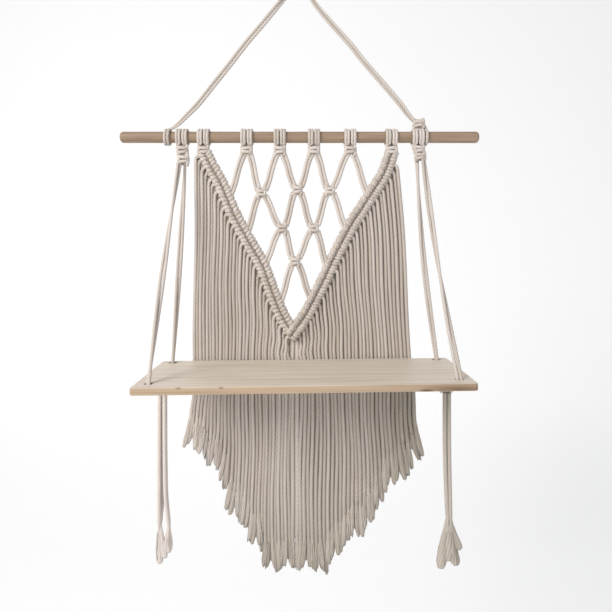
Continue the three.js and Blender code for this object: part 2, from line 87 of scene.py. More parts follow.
def makeStudio():
    s = studio
    angle = np.linspace(0, np.pi / 2, 24)
    y = np.concatenate([[s["front"]], s["back"] - s["curve"] * (1 - np.sin(angle)), [s["back"]]])
    z = np.concatenate([[0], s["curve"] * (1 - np.cos(angle)), [s["height"]]]) + s["floor"]
    x = np.array([-s["halfWidth"], s["halfWidth"]])
    points = np.stack(np.broadcast_arrays(x, y[:, None], z[:, None]), axis=-1).reshape(-1, 3)
    k = np.arange(len(y) - 1)[:, None] * 2
    faces = k + np.array([0, 1, 3, 2])
    mesh = bpy.data.meshes.new("backdrop")
    mesh.from_pydata(points.tolist(), [], faces.tolist())
    mesh.shade_smooth()
    backdrop = bpy.data.objects.new("backdrop", mesh)
    paper = bpy.data.materials.new("paper")
    paper.use_nodes = True
    shader = paper.node_tree.nodes["Principled BSDF"]
    shader.inputs["Base Color"].default_value = (*s["paper"], 1)
    shader.inputs["Roughness"].default_value = 1
    shader.inputs["Emission Color"].default_value = (1, 1, 1, 1)
    shader.inputs["Emission Strength"].default_value = s["paperGlow"]
    mesh.materials.append(paper)
    bpy.context.scene.collection.objects.link(backdrop)
    world = bpy.data.worlds.new("studio")
    world.use_nodes = True
    background = world.node_tree.nodes["Background"]
    background.inputs["Color"].default_value = (*s["world"], 1)
    background.inputs["Strength"].default_value = s["worldStrength"]
    bpy.context.scene.world = world
    for name in ("key", "fill"):
        lamp = s[name]
        data = bpy.data.lights.new(name, "AREA")
        data.shape = "DISK"
        data.size = lamp["size"]
        data.energy = lamp["watts"]
        data.color = lamp["tint"]
        light = bpy.data.objects.new(name, data)
        light.location = lamp["place"]
        aim = Vector(s["aim"]) - Vector(lamp["place"])
        light.rotation_euler = aim.to_track_quat("-Z", "Y").to_euler()
        bpy.context.scene.collection.objects.link(light)
    bpy.context.scene.view_settings.view_transform = "Standard"


makeStudio()
print("studio made")


# Unit directions along paths, from each point's neighbours
def directions(paths):
    along = np.gradient(paths, axis=-2)
    return along / np.linalg.norm(along, axis=-1, keepdims=True)


# How far each point lies along its path: the sum of the steps up to it
def runAlong(paths):
    steps = np.linalg.norm(np.diff(paths, axis=1), axis=2)
    return np.concatenate([np.zeros((len(paths), 1)), np.cumsum(steps, axis=1)], axis=1)


# A smooth path through hand-set points with an even spacing: a Catmull-Rom curve, so each
# stretch from b to c is half of 2b + (c - a)t + (2a - 5b + 4c - d)t^2 + (3b - a - 3c + d)t^3.
# points has the shape (paths, points, 3), and the result (paths, count, 3).
def smoothPaths(points, count):
    p = np.asarray(points, float)
    if p.ndim == 2:
        p = p[None]
    padded = np.concatenate([2 * p[:, :1] - p[:, 1:2], p, 2 * p[:, -1:] - p[:, -2:-1]], axis=1)
    t = np.linspace(0, p.shape[1] - 1, 16 * (p.shape[1] - 1) + 1)
    i = np.minimum(t.astype(int), p.shape[1] - 2)
    f = (t - i)[None, :, None]
    a, b, c, d = (padded[:, i + k] for k in range(4))
    dense = 0.5 * (2 * b + (c - a) * f + (2 * a - 5 * b + 4 * c - d) * f**2
                   + (3 * b - a - 3 * c + d) * f**3)
    even = [
        np.column_stack([np.interp(np.linspace(0, r[-1], count), r, one[:, k]) for k in range(3)])
        for r, one in zip(runAlong(dense), dense)
    ]
    return np.array(even)


# Directions along each path and two across it, turned as little as possible from ring to ring:
# each across is the last one less its part along the path.
def framesOf(paths):
    along = directions(paths)
    across = np.empty_like(paths)
    last = np.cross(along[:, 0], [0.31, 0.2, 0.93])
    for k in range(paths.shape[1]):
        last = last - along[:, k] * np.sum(last * along[:, k], axis=1, keepdims=True)
        last = last / np.linalg.norm(last, axis=1, keepdims=True)
        across[:, k] = last
    return along, across, np.cross(along, across)


# Quads between neighbouring rings of as many points each
def ringQuads(rings, sides):
    k = np.arange(rings - 1)[:, None] * sides
    j = np.arange(sides)[None]
    after = (j + 1) % sides
    return np.stack([k + j, k + after, k + sides + after, k + sides + j], axis=-1).reshape(-1, 4)


# Faces of closed tubes whose points are all their rings and then, tube by tube, the middles of
# their two ends: quads between the rings and a fan of triangles at each end
def tubeFaces(count, rings, sides):
    base = np.arange(count)[:, None] * rings * sides
    quads = base[..., None] + ringQuads(rings, sides)
    middle = np.broadcast_to(count * rings * sides + 2 * np.arange(count)[:, None], (count, sides))
    first, after = base + np.arange(sides), base + (np.arange(sides) + 1) % sides
    far = (rings - 1) * sides
    fans = np.concatenate([np.stack([middle, after, first], axis=-1),
                           np.stack([middle + 1, far + first, far + after], axis=-1)], axis=1)
    return quads.reshape(-1, 4), fans.reshape(-1, 3)


# Cords carried along many paths at once. Ring angle j has the radius
# size(along) times (1 - groove (1 - |cos(plies angle / 2)|)), and every ring is turned by
# 2 pi times the run over the lay, so that the creases between the plies wind round the cord.
# A level cord keeps its first axis near x and is flat times as deep; mark is how much painted
# shade the creases get, and flank how much painted shade the sides that face its neighbours get.
def cordSurface(paths, radius, lay, plies=3, groove=0.2, sides=12, tone=None, mark=1.0,
                flank=0.0, level=False, flat=1.0):
    count, rings = paths.shape[:2]
    along, across, out = framesOf(paths)
    if level:
        across = np.array([1.0, 0, 0]) - along * along[..., :1]
        across /= np.linalg.norm(across, axis=2, keepdims=True)
        out = np.cross(along, across)
    run = runAlong(paths)
    j = np.arange(sides)
    crest = np.abs(np.cos(plies * np.pi * j / sides)) if plies else np.ones(sides)
    size = np.broadcast_to(np.asarray(radius, float), (count, rings))
    section = size[..., None] * (1 - groove * (1 - crest))
    start = rng.uniform(0, 2 * np.pi, count)
    turn = 2 * np.pi * j / sides + (2 * np.pi * run / lay + start[:, None])[..., None]
    cosine, sine = np.cos(turn), flat * np.sin(turn)
    points = (paths[:, :, None]
              + across[:, :, None] * (section * cosine)[..., None]
              + out[:, :, None] * (section * sine)[..., None])
    ends = paths[:, [0, -1]]
    quads, fans = tubeFaces(count, rings, sides)
    u = np.broadcast_to(j / sides, (count, rings - 1, sides))
    v0, v1 = (np.broadcast_to(one[..., None], u.shape) for one in (run[:, :-1], run[:, 1:]))
    corners = (u, v0), (u + 1 / sides, v0), (u + 1 / sides, v1), (u, v1)
    quadUv = np.stack([np.stack(corner, -1) for corner in corners], axis=3)
    shade = rng.uniform(0, 1, count) if tone is None else np.broadcast_to(tone, (count,))
    perPoint = np.broadcast_to(shade[:, None, None], (count, rings, sides)).ravel()
    facing = np.abs(across[..., :1] * cosine + out[..., :1] * sine)
    # painted shade in the ply creases and on the sides that face neighbouring cords
    crease = mark * (1 - crest) + flank * np.clip((facing - 0.6) / 0.4, 0, 1)
    return {
        "points": np.concatenate([points.reshape(-1, 3), ends.reshape(-1, 3)]),
        "quads": quads,
        "fans": fans,
        "quadUv": quadUv,
        "crease": np.concatenate([crease.ravel(), np.zeros(2 * count)]),
        "tone": np.concatenate([perPoint, np.repeat(shade, 2)]),
    }


# One mesh object from several surfaces, in metres, riding on the one body
def makePiece(name, parts, material, node):
    points, quads, fans, offset = [], [], [], 0
    for part in parts:
        points.append(part["points"])
        quads.append(part["quads"] + offset)
        fans.append(part["fans"] + offset)
        offset += len(part["points"])
    points, quads, fans = (np.concatenate(one) for one in (points, quads, fans))
    mesh = bpy.data.meshes.new(name)
    mesh.vertices.add(len(points))
    mesh.vertices.foreach_set("co", (points * mm).ravel())
    mesh.loops.add(quads.size + fans.size)
    mesh.loops.foreach_set("vertex_index", np.concatenate([quads.ravel(), fans.ravel()]))
    mesh.polygons.add(len(quads) + len(fans))
    starts = np.concatenate([4 * np.arange(len(quads)), quads.size + 3 * np.arange(len(fans))])
    mesh.polygons.foreach_set("loop_start", starts)
    mesh.update(calc_edges=True)
    for key in ("crease", "tone", "shade"):
        layer = mesh.attributes.new(key, "FLOAT", "POINT")
        values = [part.get(key, np.zeros(len(part["points"]))) for part in parts]
        layer.data.foreach_set("value", np.concatenate(values))
    uvs = [part.get("quadUv", np.zeros(8 * len(part["quads"]))).ravel() for part in parts]
    uvs.append(np.zeros(6 * len(fans)))
    mesh.uv_layers.new(name="yarn").data.foreach_set("uv", np.concatenate(uvs))
    mesh.shade_smooth()
    mesh.materials.append(material)
    piece = bpy.data.objects.new(name, mesh)
    bpy.context.scene.collection.objects.link(piece)
    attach(piece, "root")
    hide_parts(node)
    print(name, 2 * len(quads) + len(fans), "triangles")
    return piece


# A material with helpers: fill sets or links a node's inputs, add makes a node and gives one of
# its outputs, and mix blends two colours
def newMaterial(name, roughness):
    material = bpy.data.materials.new(name)
    material.use_nodes = True
    tree = material.node_tree
    shader = tree.nodes["Principled BSDF"]
    shader.inputs["Roughness"].default_value = roughness

    def fill(node, inputs):
        for key, value in inputs.items():
            if isinstance(value, bpy.types.NodeSocket):
                tree.links.new(value, node.inputs[key])
            else:
                node.inputs[key].default_value = value

    def add(kind, output, inputs, **settings):
        node = tree.nodes.new("ShaderNode" + kind)
        for key, value in settings.items():
            setattr(node, key, value)
        fill(node, inputs)
        return node.outputs[output]

    def mix(factor, first, second, blend="MIX"):
        return add("Mix", "Result", {"Factor": factor, "A": first, "B": (*second, 1)},
                   data_type="RGBA", blend_type=blend)

    return material, shader, fill, add, mix


cottonLook = {
    "light": (0.785, 0.722, 0.68),
    "warm": (0.65, 0.58, 0.52),
    # dark is the colour of the painted shade in the creases, dusk that of the painted shade below the
    # board and behind the fringe
    "dark": (0.235, 0.195, 0.155),
    "dusk": (0.42, 0.385, 0.32),
    "mottle": (0.9, 0.88, 0.86),
    "mottleSize": 60,
    "creaseDepth": 0.55,
    "fibreStretch": (14, 0.55, 1),
    "fibreDark": 0.16,
    "fibreBump": 0.35,
    "bumpHeight": 0.0004,
    "sheen": 0.15,
}


# Soft unbleached cotton: light on the crests of the plies, with painted shade in the creases, on
# the sides that face neighbouring cords and in the dusk below the board; each cord a little
# different, with fine fibres along the yarn
def makeCotton():
    look = cottonLook
    material, shader, fill, add, mix = newMaterial("unbleached cotton", 0.95)
    crease, tone, shade = (add("Attribute", "Fac", {}, attribute_name=name)
                           for name in ("crease", "tone", "shade"))
    yarn = add("UVMap", "UV", {}, uv_map="yarn")
    along = add("Mapping", "Vector", {"Vector": yarn, "Scale": look["fibreStretch"]})
    fibre = add("TexNoise", "Fac", {"Vector": along, "Scale": 1.6, "Detail": 4})
    place = add("TexCoord", "Object", {})
    cloud = add("TexNoise", "Fac", {"Vector": place, "Scale": look["mottleSize"], "Detail": 3})
    speck = add("MapRange", "Result", {"Value": fibre, "From Min": 0.35, "From Max": 0.75,
                                       "To Min": 0, "To Max": look["fibreDark"]})
    # how much painted crease shade, plus dark fibre specks
    depth = add("Math", "Value", {0: crease, 1: look["creaseDepth"], 2: speck},
                operation="MULTIPLY_ADD")
    colour = mix(tone, (*look["light"], 1), look["warm"])
    colour = mix(shade, colour, look["dusk"])
    colour = mix(depth, colour, look["dark"])
    colour = mix(cloud, colour, look["mottle"], "MULTIPLY")
    bump = add("Bump", "Normal", {"Height": fibre, "Strength": look["fibreBump"],
                                  "Distance": look["bumpHeight"]})
    fill(shader, {"Base Color": colour, "Normal": bump, "Sheen Weight": look["sheen"],
                  "Sheen Roughness": 0.6, "Specular IOR Level": 0.15})
    return material


woodLook = {
    "detail": 6,
    "roughness": 0.62,
    "distortion": 0.35,
    "stops": (0.3, 0.5, 0.72),
    "knot": (0.42, 0.33, 0.25),
    "bump": 0.25,
    "bumpHeight": 0.0003,
}


# Wood with streaks along the piece: noise stretched along x picks between three tones. Knots
# are balls of darker wood, and the sides are multiplied by a tone that is partly their own warmer
# colour and partly painted shade.
def makeWood(name, tones, stretchBy, roughness, knots=(), edgeShadeAndTone=None):
    look = woodLook
    material, shader, fill, add, mix = newMaterial(name, roughness)
    place = add("TexCoord", "Object", {})
    along = add("Mapping", "Vector", {"Vector": place, "Scale": stretchBy})
    grain = add("TexNoise", "Fac", {"Vector": along, "Scale": 1.0, "Detail": look["detail"],
                                    "Roughness": look["roughness"],
                                    "Distortion": look["distortion"]})
    colour = add("ValToRGB", "Color", {"Fac": grain})
    stops = colour.node.color_ramp.elements
    stops.new(0.5)
    for stop, position, tone in zip(stops, look["stops"], tones):
        stop.position = position
        stop.color = (*tone, 1)
    if edgeShadeAndTone:
        onEdge = add("Attribute", "Fac", {}, attribute_name="shade")
        colour = mix(onEdge, colour, edgeShadeAndTone, "MULTIPLY")
    for middle, halfSize in knots:
        spot = add("Mapping", "Vector", {"Vector": place, "Location": middle, "Scale": halfSize},
                   vector_type="TEXTURE")
        ball = add("TexGradient", "Fac", {"Vector": spot}, gradient_type="SPHERICAL")
        colour = mix(ball, colour, look["knot"], "MULTIPLY")
    bump = add("Bump", "Normal", {"Height": grain, "Strength": look["bump"],
                                  "Distance": look["bumpHeight"]})
    fill(shader, {"Base Color": colour, "Normal": bump})
    return material


cotton = makeCotton()
print("cotton made")


def cottonPiece(name, parts, node):
    makePiece(name, parts, cotton, node)

dowel = {
    "length": 510,
    "radius": 8,
    "z": -224,
    "endRound": 5,
    "sides": 48,
    "uneven": 0.006,
    "tones": ((0.215, 0.145, 0.09), (0.305, 0.215, 0.145), (0.385, 0.285, 0.20)),
    "stretch": (9, 260, 260),
}


# Dowel: the profile r(s) is turned about x, with ends that round off as a quarter ellipse
def makeDowel():
    half, radius, endRound = dowel["length"] / 2, dowel["radius"], dowel["endRound"]
    t = np.linspace(0, np.pi / 2, 9)
    xs = np.linspace(-half + endRound, half - endRound, 60)
    wave = dowel["uneven"] * np.sin(xs / 17.0) * np.cos(xs / 41.0)
    body = np.column_stack([xs, radius * (1 + wave)])
    left = np.column_stack([-half + endRound * (1 - np.cos(t)), radius * (0.3 + 0.7 * np.sin(t))])
    profile = np.concatenate([left[:-1], body, left[:-1][::-1] * [-1, 1]])
    sides = dowel["sides"]
    angle = 2 * np.pi * np.arange(sides) / sides
    x, r = profile[:, :1], profile[:, 1:]
    ring = np.stack(np.broadcast_arrays(x, r * np.cos(angle), r * np.sin(angle) + dowel["z"]), -1)
    quads, fans = tubeFaces(1, len(profile), sides)
    ends = np.array([[profile[0, 0] - 0.3, 0, dowel["z"]], [profile[-1, 0] + 0.3, 0, dowel["z"]]])
    part = {"points": np.concatenate([ring.reshape(-1, 3), ends]), "quads": quads, "fans": fans}
    wood = makeWood("tan dowel wood", dowel["tones"], dowel["stretch"], 0.6)
    makePiece("wooden_dowel", [part], wood, "dowel")


makeDowel()

board = {
    "width": 400, "depth": 150, "thickness": 9, "top": -541.5, "x": 7.5, "back": -7,
    "corner": 4, "edge": 1.3,
    "hole": 5.7, "fromEnd": 17, "fromFront": 20, "fromBack": 12,
    "tones": ((0.53, 0.455, 0.37), (0.655, 0.57, 0.48), (0.73, 0.65, 0.555)),
    "edgeShadeAndTone": (0.70, 0.59, 0.475),
    "stretch": (5, 150, 260),
    "tilt": {"front": 1.3, "back": 3.1, "frontSlope": 0.0145, "backSlope": 0.0113},
    "knots": [        # middle and half sizes, in metres
        ((-0.136, -0.158, -0.5433), (0.0045, 0.006, 0.002)),
        ((-0.087, -0.158, -0.5426), (0.004, 0.006, 0.002)),
        ((0.148, -0.158, -0.5463), (0.009, 0.006, 0.0035)),
        ((0.148, -0.158, -0.5468), (0.012, 0.006, 0.003)),
        # this one is a long darker patch over the right end of the front edge rather than a knot
        ((0.185, -0.156, -0.5435), (0.05, 0.008, 0.006)),
        ((-0.1, -0.16, -0.541), (0.05, 0.004, 0.004)),
    ],
}


def holeX(side):
    return board["x"] + side * (board["width"] / 2 - board["fromEnd"])


def holeY(place):
    front = board["back"] - board["depth"] + board["fromFront"]
    return front if place == "front" else board["back"] - board["fromBack"]


# How much higher the hung board lies than level: straight along its front and its back edge,
# rise = middle value + slope times x, and blended between the two
def boardRise(x, y):
    tilt = board["tilt"]
    front = (board["back"] - y) / board["depth"]
    along = x - board["x"]
    return ((tilt["back"] + tilt["backSlope"] * along) * (1 - front)
            + (tilt["front"] + tilt["frontSlope"] * along) * front)


# Triangles that fill the space between the rim's ring and the holes' rings, facing up or down
def flatFace(points, rings, centres, upward):
    index = np.concatenate(rings)
    flat = points[index][:, :2]
    polygons, at = [], 0
    for ring in rings:
        polygons.append(list(range(at, at + len(ring))))
        at += len(ring)
    edges = [(one[i], one[(i + 1) % len(one)]) for one in polygons for i in range(len(one))]
    found = delaunay_2d_cdt([Vector(p) for p in flat.tolist()], edges, [], 0, 1e-6)
    corners = np.array([face for face in found[2] if len(face) == 3])
    middle = points[index][corners].mean(axis=1)[:, :2]
    keep = np.ones(len(corners), bool)
    for centre in centres:
        keep &= np.linalg.norm(middle - centre, axis=1) > board["hole"] * 0.9
    corners = corners[keep]
    a, c, d = (flat[corners[:, k]] for k in range(3))
    area = (c[:, 0] - a[:, 0]) * (d[:, 1] - a[:, 1]) - (c[:, 1] - a[:, 1]) * (d[:, 0] - a[:, 0])
    wrong = (area < 0) if upward else (area > 0)
    corners[wrong] = corners[wrong][:, ::-1]
    return index[corners]


# Board: an outline and four round holes, each carried down a rounded edge profile, where a ring
# is moved in by edge (1 - sin a) and down by edge (1 - cos a); flat faces fill the top and foot.
def makeBoard():
    b = board
    steps = np.linspace(0, np.pi / 2, 6)
    corners = []
    for cx, cy, start in ((1, -1, -90), (1, 1, 0), (-1, 1, 90), (-1, -1, 180)):
        angle = np.radians(start) + steps
        corners.append(np.column_stack([
            b["x"] + cx * (b["width"] / 2 - b["corner"]) + b["corner"] * np.cos(angle),
            b["back"] - b["depth"] / 2 + cy * (b["depth"] / 2 - b["corner"])
            + b["corner"] * np.sin(angle)]))
    outline = np.concatenate(corners)
    ring = 2 * np.pi * np.arange(32) / 32
    circle = np.column_stack([np.cos(ring), np.sin(ring)])
    centres = [np.array([holeX(side), holeY(place)]) for side in (-1, 1)
               for place in ("front", "rear")]
    loops = [(outline, None)] + [(centre + circle * b["hole"], centre) for centre in centres]
    middle = np.array([b["x"], b["back"] - b["depth"] / 2])
    half = np.array([b["width"] / 2, b["depth"] / 2])
    fall = np.linspace(0, np.pi / 2, 5)
    points, quads, topRings, footRings, offset = [], [], [], [], 0
    for loop, centre in loops:
        isRim = centre is None
        edge = b["edge"] if isRim else b["edge"] * 0.6
        inset = edge * (1 - np.sin(fall))
        drop = edge * (1 - np.cos(fall))
        insets = np.concatenate([inset, inset[::-1]])[:, None, None]
        heights = np.concatenate([b["top"] - drop, (b["top"] - b["thickness"] + drop)[::-1]])
        if isRim:
            rings = middle + (loop - middle)[None] * (1 - insets / half)
        else:
            rings = centre + (loop - centre)[None] * (1 + insets / b["hole"])
        n = len(loop)
        level = np.broadcast_to(heights[:, None, None], (len(heights), n, 1))
        points.append(np.concatenate([rings, level], axis=-1).reshape(-1, 3))
        face = ringQuads(len(heights), n)[:, [0, 3, 2, 1]]
        quads.append((face if isRim else face[:, ::-1]) + offset)
        topRings.append(offset + np.arange(n))
        footRings.append(offset + (len(heights) - 1) * n + np.arange(n))
        offset += len(heights) * n
    points, quads = np.concatenate(points), np.concatenate(quads)
    onEdge = (points[:, 2] < b["top"] - 0.4) & (points[:, 2] > b["top"] - b["thickness"] + 0.1)
    points[:, 2] += boardRise(points[:, 0], points[:, 1])
    fans = np.concatenate([flatFace(points, topRings, centres, True),
                           flatFace(points, footRings, centres, False)])
    # the sides are marked for their painted shade and warmer colour
    part = {"points": points, "quads": quads, "fans": fans, "shade": onEdge.astype(float)}
    wood = makeWood("pale board wood", b["tones"], b["stretch"], 0.5, b["knots"], b["edgeShadeAndTone"])
    made = makePiece("pale_board", [part], wood, "shelf_board")
    for polygon in made.data.polygons:
        if abs(polygon.normal.z) > 0.999:
            polygon.use_smooth = False


makeBoard()
print("wood made")

cord = {
    "radius": 2.25,
    "slack": 2.55,        # the radius where a cord is slack, in the net
    "knotted": 1.07,      # how much thicker it is in a square knot
    "pair": 2.2,          # half the distance between two cords side by side
    "lay": 15.0,
}
groups = {
    "supportLeft": -166.6, "barLeft": -136.1, "net1": -74.8, "net2": -27.8,
    "net3": 20.6, "net4": 71.9, "barRight": 130.3, "supportRight": 168,
}
loopShape = {
    "apart": 4.55,        # from a group's middle to the middle of each looped cord
    "half": 2.2,          # from a looped cord's middle to each of its strands
    "foot": 1.7,          # the same at the bight
    "knotTop": -238.5,
}


# A cord looped on the dowel: each strand goes back under the dowel, up behind it and over to
# the front along y = -R cos a, z = dowel + R sin a, and the bight joins both in front, below.
def loopedCords(centres):
    reach = dowel["radius"] + cord["radius"]
    angle = np.radians([262, 235, 205, 175, 145, 115, 85, 55, 25, -5, -33])
    half = np.interp(angle, [angle[-1], angle[0]], [loopShape["foot"] + 0.2, loopShape["half"]])
    low, front = np.radians(-52), np.radians(-62)
    z, knotTop = dowel["z"], loopShape["knotTop"]
    paths = []
    for x in centres:
        sides = []
        for side in (-1, 1):
            start = [[x + side * 2.3, -3.4, knotTop - 3], [x + side * 2.2, -2.6, z - 13.2]]
            arc = np.column_stack([x + side * half, -reach * np.cos(angle),
                                   z + reach * np.sin(angle)])
            turn = [[x + side * 1.9, -(reach + 1.3) * np.cos(low), z + (reach + 1.3) * np.sin(low)]]
            sides.append(np.concatenate([start, arc, turn]))
        bight = [[x, -(reach + 2.2) * np.cos(front), z + (reach + 2.2) * np.sin(front)]]
        paths.append(np.concatenate([sides[0], bight, sides[1][::-1]]))
    return cordSurface(smoothPaths(paths, 84), cord["radius"] * 0.99, cord["lay"], groove=0.08,
                       mark=0.45)


# The two working cords of a square knot, for a knot 14 wide and 12 high: one crosses the front
# twice, and the other passes behind the fillers and over the first at each side
frontCord = [
    (-5.6, -0.6, 8.5), (-6.3, -1.2, 5.4), (-3.6, -4.3, 3.3), (0, -5.0, 2.8), (3.6, -4.3, 2.5),
    (6.3, -1.4, 1.7), (6.7, 0.4, 0), (6.3, -1.4, -1.7), (3.6, -4.3, -2.5), (0, -5.0, -2.8),
    (-3.6, -4.3, -3.3), (-6.3, -1.2, -5.4), (-5.6, -0.6, -8.5),
]
backCord = [
    (5.6, -0.6, 8.5), (6.4, -3.1, 5.0), (6.4, -1.2, 3.0), (3.2, 3.6, 3.0), (0, 4.4, 3.0),
    (-3.6, 3.4, 3.0), (-6.5, -1.2, 3.6), (-6.2, -4.1, 1.9), (-6.2, -4.1, -1.6), (-6.4, -0.8, -3.2),
    (-3.2, 3.6, -3.2), (0, 4.4, -3.0), (3.6, 3.4, -3.0), (6.5, -1.0, -3.2), (6.4, -3.1, -5.0),
    (5.6, -0.6, -8.5),
]


# Square knots at the given places: rows of x, y, z, width, height and hand, which is 1 or -1
def squareKnots(rows):
    paths = [[], []]
    fillers = []
    for x, y, z, width, height, hand in rows:
        scale = np.array([hand * width / 14, 0.82, height / 12])
        for k, shape in enumerate((frontCord, backCord)):
            paths[k].append(np.array(shape) * scale + [x, y, z])
        for side in (-1, 1):
            fillers.append([[x + side * 2.2, y, z + height * 0.62], [x + side * 2.2, y, z],
                            [x + side * 2.2, y, z - height * 0.62]])
    r = cord["radius"] * cord["knotted"]
    parts = [cordSurface(smoothPaths(np.array(one), 46), r, cord["lay"], groove=0.08, mark=0.4)
             for one in paths]
    parts.append(cordSurface(smoothPaths(np.array(fillers), 10), r, cord["lay"], groove=0.08))
    return parts


net = {
    "y": -3.0,
    "apart": 2.45,
    "startX": 4.2, "startZ": 3.0,
    "sway": 0.045,
    "knot": (11.2, 11),
    "first": ((-53.7, -303.5), (-2.9, -299.2), (43.1, -300.2)),
    "second": ((-24.7, -353.8), (20.1, -353.8)),
    "third": ((-6.2, -400.3),),
    "topZ": -243.0, "topKnot": (14.5, 11),
    "leftBar": (-306, -359, -402, -457),
    "rightBar": (-306, -354, -407, -453),
}
arms = {
    "left": [(-134.5, -246), (-126, -264), (-110.4, -292.1), (-92.8, -333.4), (-70, -375),
             (-53, -404.5), (-39.5, -440.4), (-25.5, -475), (-9.6, -501.1)],
    "right": [(131.5, -245), (120.1, -275.7), (104.5, -301), (88.2, -326.5), (71.9, -351.9),
              (50, -393.8), (36, -424), (22, -452), (9.2, -476), (-8.2, -500.6)],
}
bar = {
    "y": -2.6, "offset": 5.2, "outer": 5.4, "lean": 0.9, "join": 9.4,
    "thick": 0.57,        # a wrap's radius as a share of its length of bar
    "sizeVaries": (-0.09, 0.07), "leanVaries": 0.7, "placeVaries": 0.07,
    "wraps": {"left": {"inner": 52, "outer": 50}, "right": {"inner": 64, "outer": 68}},
    "pairs": {"left": 0.03, "right": 0.12},
    "over": {"left": 0, "right": 3.2},
}
tipRun = {"left": 6, "right": 9}


# The line between an arm's two bars, as many even points with their directions outwards
def armLine(side, count):
    flat = np.array(arms[side], float)
    last = flat[-1] - flat[-2]
    flat = np.vstack([flat, flat[-1] + last / np.linalg.norm(last) * tipRun[side]])
    level = np.full(len(flat), bar["y"])
    line = smoothPaths(np.column_stack([flat[:, 0], level, flat[:, 1]]), count)[0]
    along = directions(line)
    sign = -1 if side == "left" else 1
    outward = np.column_stack([-sign * along[:, 2], np.zeros(count), sign * along[:, 0]])
    return line, along, outward


def onArm(side, z):
    line, _, outward = armLine(side, 400)
    at = np.argmax(line[:, 2] <= z)
    place = line[at] - outward[at] * bar["join"]
    return place[0], place[2]


# Legs of the net: from each knot one goes to the knot or bar below at its left, and one at its
# right. x goes from one to the next by t + sway sin(2 pi t) while z falls evenly, and the two
# cords of a leg lie side by side across it.
def netLegs():
    tops = [(groups[f"net{k}"], net["topZ"] - 2) for k in (1, 2, 3, 4)]
    rows = [tops, net["first"], net["second"], net["third"], ()]
    pairs = []
    for knots, below, left, right in zip(rows, rows[1:], net["leftBar"], net["rightBar"]):
        targets = [onArm("left", left), *below, onArm("right", right)]
        for k, knot in enumerate(knots):
            pairs.append((knot, targets[k], k == 0))
            pairs.append((knot, targets[k + 1], k + 2 == len(targets)))
    t = np.linspace(0, 1, 9)
    paths = []
    for k, ((x0, z0), (x1, z1), atBar) in enumerate(pairs):
        side = np.sign(x1 - x0)
        begin = (x0 + side * net["startX"], z0 - net["startZ"])
        finish = (x1 - side * net["startX"], z1 + net["startZ"])
        if atBar:
            finish = (x1 + side * 3.5, z1 - 5)
        x = begin[0] + (finish[0] - begin[0]) * (t + net["sway"] * np.sin(2 * np.pi * t))
        z = begin[1] + (finish[1] - begin[1]) * t
        spread = 1.16 - 0.2 * np.sin(np.pi * t)
        lift = 0.5 * np.sin(2 * np.pi * t + k)
        for lane in (-1, 1):
            paths.append(np.column_stack([x + lane * net["apart"] * spread,
                                          net["y"] + lane * lift * 0.7, z]))
    return cordSurface(smoothPaths(paths, 38), cord["slack"], cord["lay"], groove=0.05, mark=0.3)


def makeNet():
    rows = []
    for k, (x, z) in enumerate((*net["first"], *net["second"], *net["third"])):
        rows.append((x, net["y"], z, *net["knot"], 1 if k % 2 else -1))
    parts = squareKnots(rows) + [netLegs()]
    cottonPiece("diamond_net", parts, "macrame_panel")


def makeTopRow():
    parts, centres, rows = [], [], []
    for k, (name, x) in enumerate(groups.items()):
        if name.startswith("support"):
            continue
        centres += [x - loopShape["apart"], x + loopShape["apart"]]
        rows.append((x, net["y"], net["topZ"], *net["topKnot"], 1 if k % 2 else -1))
    parts.append(loopedCords(centres))
    parts += squareKnots(rows)
    cottonPiece("looped_cords", parts, "macrame_panel")


makeTopRow()
makeNet()
print("net made")


# Hitches of an arm: each working cord wraps twice round each bar. A wrap is the ring
# centre + outward a cos q + y a sin q, leaned along the bar by lean cos q, and a cord in painted
# shade fills the line between the two rows, where the wraps are painted darker as shade too. At
# its lower end the right arm passes over the left.
def makeArm(side):
    line, along, outward = armLine(side, 600)
    line[:, 1] -= bar["over"][side] * np.clip((np.arange(600) - 530) / 50, 0, 1)
    length = np.linalg.norm(np.diff(line, axis=0), axis=1).sum()
    rings, sides = 17, 14
    q = np.linspace(np.pi / 2, 2.5 * np.pi, rings)
    parts = []
    for row, sign in (("inner", -1), ("outer", 1)):
        wraps = bar["wraps"][side][row]
        thick = bar["thick"] * length / wraps
        t = (np.arange(wraps) + 0.5) / wraps
        if row == "inner":
            t += np.where(np.arange(wraps) % 2 == 0, 1, -1) * bar["pairs"][side] / wraps
        t += rng.uniform(-bar["placeVaries"], bar["placeVaries"], wraps) / wraps
        at = np.clip(t * (len(line) - 1), 0, len(line) - 1).astype(int)
        size = (bar["outer"] - thick) * (1 + rng.uniform(*bar["sizeVaries"], wraps))
        centre = line[at] + outward[at] * sign * bar["offset"]
        uneven = rng.uniform(-bar["leanVaries"], bar["leanVaries"], wraps)
        lean = -sign * bar["lean"] * (1 + uneven)
        paths = (centre[:, None]
                 + outward[at][:, None] * (size[:, None] * np.cos(q))[..., None]
                 + np.array([0, 1, 0]) * (size[:, None] * np.sin(q))[..., None]
                 + along[at][:, None] * (lean[:, None] * np.cos(q))[..., None])
        wrapped = cordSurface(paths, thick, 9, groove=0.11, sides=sides, mark=0.7)
        body = wrapped["points"][:wraps * rings * sides].reshape(wraps, -1, 3) - line[at][:, None]
        apart = np.abs((body * outward[at][:, None]).sum(axis=2)).ravel()
        # painted shade where the wraps come close to the line between the rows
        wrapped["crease"][:len(apart)] += 1.2 * np.clip((1.3 - apart) / 0.9, 0, 1)
        parts.append(wrapped)
        core = (line + outward * sign * bar["offset"])[::6]
        parts.append(cordSurface(core[None], bar["outer"] - 1.6, cord["lay"], groove=0.1))
    between = cordSurface((line + [0, 0.6, 0])[None, ::6], 2.2, cord["lay"], groove=0.1, sides=9)
    # the cord between the rows is painted in full shade
    between["shade"] = np.ones(len(between["points"]))
    parts.append(between)
    cottonPiece(f"hitched_bars_{side}", parts, "macrame_panel")


makeArm("left")
makeArm("right")
print("bars made")

